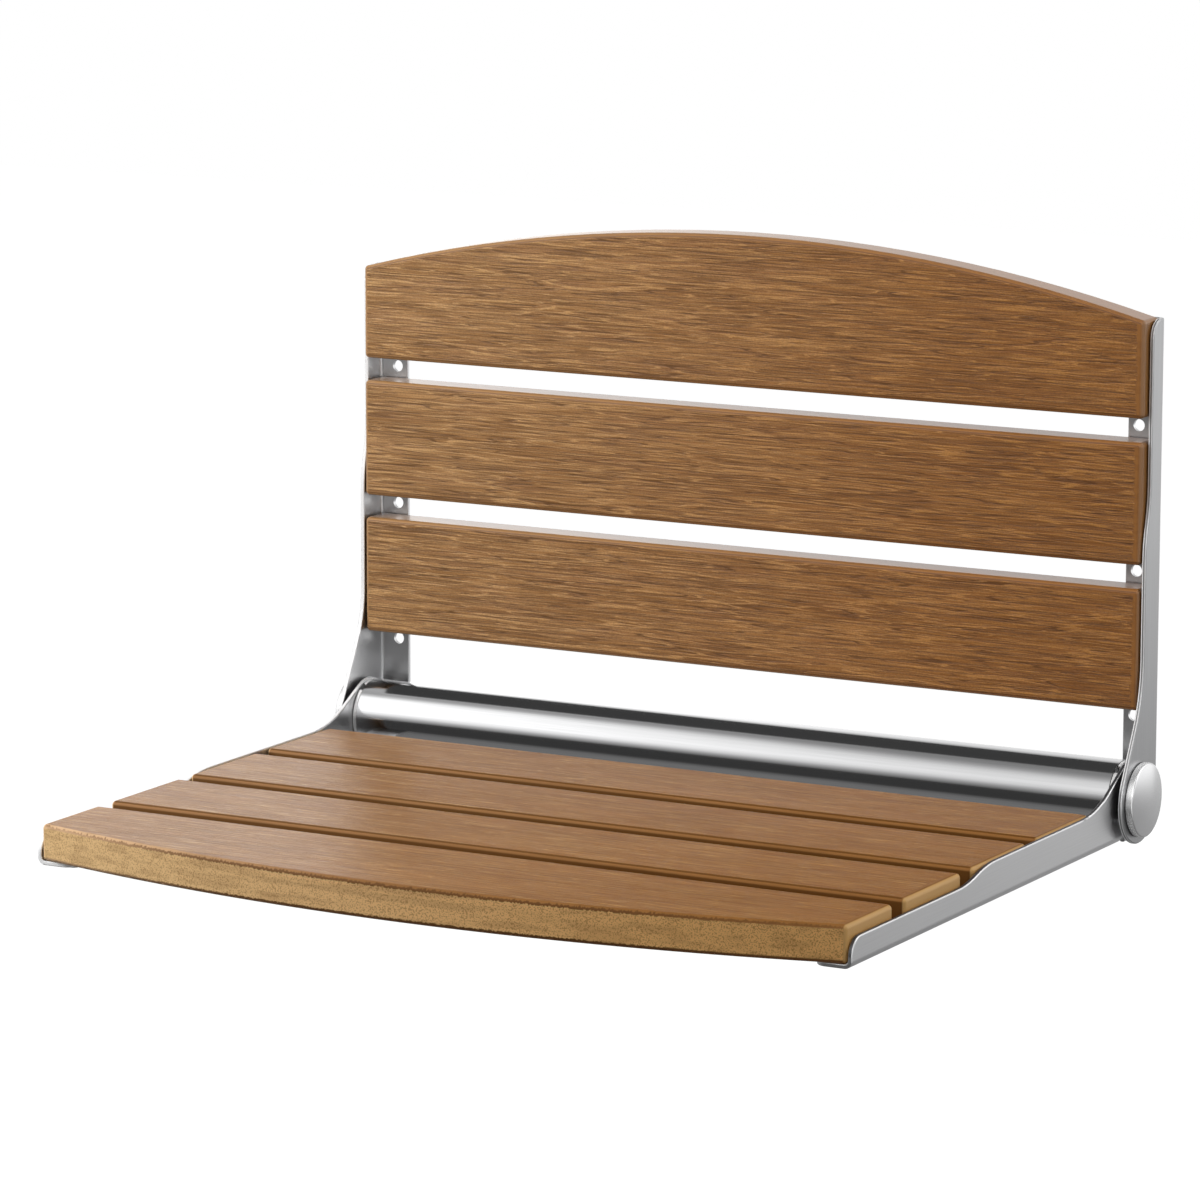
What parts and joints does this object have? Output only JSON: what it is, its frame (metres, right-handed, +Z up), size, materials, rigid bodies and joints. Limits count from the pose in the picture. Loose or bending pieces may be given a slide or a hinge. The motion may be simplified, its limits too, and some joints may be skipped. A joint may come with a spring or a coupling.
{
  "type": "fold down wall seat",
  "caption": "Folding shower seat for a wall: wood slats on bent steel arms that hinge about a cross tube under a slatted backrest, with a bowed front and top edge.",
  "frame": {"origin": "centre of the six wall screw holes, on the wall plane behind the bracket flanges", "axes": "+Z up, +Y into the wall, -Y out from the wall towards the sitter's knees, +X to the right as seen from the front"},
  "size_m": [0.5052, 0.398, 0.3179],
  "materials": {
    "slat_wood": "teak-brown boards with a fine embossed grain, semi-matte",
    "brushed_sheet": "satin brushed stainless steel sheet",
    "polished_tube": "finely brushed stainless steel tube, nearly bright",
    "satin_cap": "satin stainless steel cap",
    "ring_metal": "bright stainless steel ring",
    "fastener_steel": "plain stainless steel fasteners and plugs",
    "bush_plastic": "dark plain bearing plastic"
  },
  "bodies": {
    "wall_frame": {"left_wall_bracket": "brushed_sheet", "right_wall_bracket": "brushed_sheet", "back_slat_top": "slat_wood", "back_slat_middle": "slat_wood", "back_slat_lower": "slat_wood", "back_slat_screws": "fastener_steel", "cross_tube": "polished_tube", "left_tube_plug": "fastener_steel", "right_tube_plug": "fastener_steel", "left_split_ring": "ring_metal", "right_split_ring": "ring_metal", "left_pivot_bolt": "fastener_steel", "right_pivot_bolt": "fastener_steel", "left_end_cap": "satin_cap", "right_end_cap": "satin_cap", "left_stop_pin": "fastener_steel", "right_stop_pin": "fastener_steel"},
    "seat": {"left_seat_arm": "brushed_sheet", "right_seat_arm": "brushed_sheet", "seat_slat_front": "slat_wood", "seat_slat_second": "slat_wood", "seat_slat_third": "slat_wood", "seat_slat_rear": "slat_wood", "seat_slat_screws": "fastener_steel", "left_pivot_bush": "bush_plastic", "right_pivot_bush": "bush_plastic"}
  },
  "joints": [
    {"name": "seat_fold", "type": "hinge", "parent": "wall_frame", "child": "seat", "pos_m": [0, -0.0245, -0.1215], "axis": [-1, 0, 0], "range_deg": [0, 90]}
  ]
}
